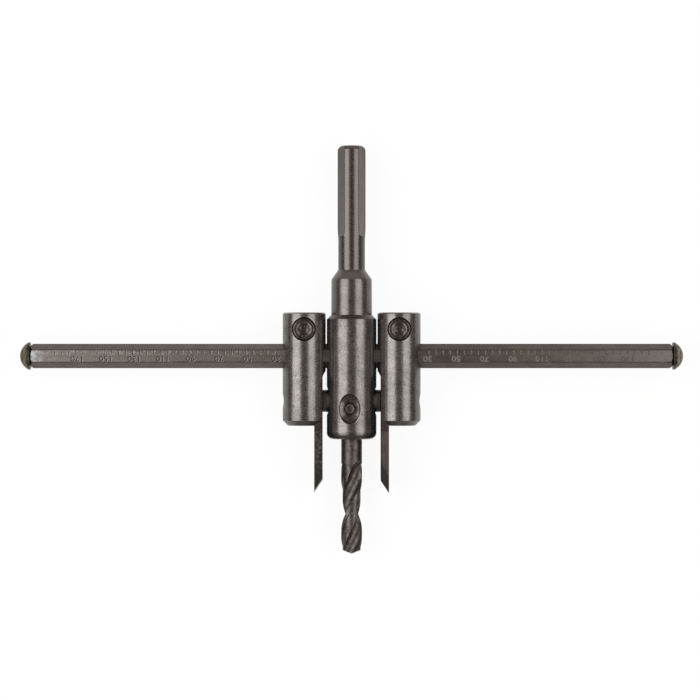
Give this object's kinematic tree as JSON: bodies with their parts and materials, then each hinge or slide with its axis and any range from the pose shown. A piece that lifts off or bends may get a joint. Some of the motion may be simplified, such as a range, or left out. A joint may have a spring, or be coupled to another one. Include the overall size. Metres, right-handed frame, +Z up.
{
  "type": "adjustable hole saw",
  "caption": "Adjustable hole saw: a turned arbor with a fluted pilot drill and a hexagonal cross bar, on which two clamped carriages carry straight bevelled cutting blades.",
  "frame": {"origin": "centre of the foot of the bounding box of the whole tool, on the table it lies on", "axes": "+X along the hexagonal bar, +Y along the spindle towards the end of the shank, +Z up from the table, the side that the clamp screws face"},
  "size_m": [0.235, 0.1446, 0.0176],
  "materials": {
    "arbor_steel": "satin black oxide",
    "bar_steel": "satin black oxide, drawn",
    "carriage_steel": "satin black oxide",
    "screw_steel": "black oxide",
    "blade_steel": "dark, ground",
    "drill_steel": "dark, ground",
    "stop_metal": "dark yellow-tinted plating"
  },
  "bodies": {
    "spindle": {"arbor": "arbor_steel", "hex_bar": "bar_steel", "end_stop_left": "stop_metal", "end_stop_right": "stop_metal"},
    "carriage_left": {"carriage_left": "carriage_steel", "blade_left": "blade_steel"},
    "carriage_right": {"carriage_right": "carriage_steel", "blade_right": "blade_steel"},
    "clamp_screw_left": {"clamp_screw_left": "screw_steel"},
    "clamp_screw_right": {"clamp_screw_right": "screw_steel"},
    "blade_screw_left": {"blade_screw_left": "screw_steel"},
    "blade_screw_right": {"blade_screw_right": "screw_steel"},
    "pilot_drill": {"pilot_drill": "drill_steel"},
    "pilot_screw": {"pilot_screw": "screw_steel"}
  },
  "joints": [
    {"name": "carriage_left_slide", "type": "slide", "parent": "spindle", "child": "carriage_left", "axis": [-1, 0, 0], "range_m": [0, 0.089]},
    {"name": "carriage_right_slide", "type": "slide", "parent": "spindle", "child": "carriage_right", "axis": [1, 0, 0], "range_m": [0, 0.089]},
    {"name": "pilot_drill_slide", "type": "slide", "parent": "spindle", "child": "pilot_drill", "axis": [0, -1, 0], "range_m": [0, 0.02]},
    {"name": "pilot_screw_turn", "type": "hinge", "parent": "spindle", "child": "pilot_screw", "pos_m": [-0.00054, -0.0208, 0.01498], "axis": [-0.0872, 0, 0.9962], "range_deg": [0, 360]},
    {"name": "clamp_screw_left_turn", "type": "hinge", "parent": "carriage_left", "child": "clamp_screw_left", "pos_m": [-0.0168, 0.00725, 0.0159], "axis": [0, 0, 1], "range_deg": [0, 360]},
    {"name": "blade_screw_left_turn", "type": "hinge", "parent": "carriage_left", "child": "blade_screw_left", "pos_m": [-0.0103, -0.0181, 0.0088], "axis": [1, 0, 0], "range_deg": [0, 360]},
    {"name": "clamp_screw_right_turn", "type": "hinge", "parent": "carriage_right", "child": "clamp_screw_right", "pos_m": [0.0168, 0.00725, 0.0159], "axis": [0, 0, 1], "range_deg": [0, 360]},
    {"name": "blade_screw_right_turn", "type": "hinge", "parent": "carriage_right", "child": "blade_screw_right", "pos_m": [0.0103, -0.0181, 0.0088], "axis": [-1, 0, 0], "range_deg": [0, 360]}
  ]
}
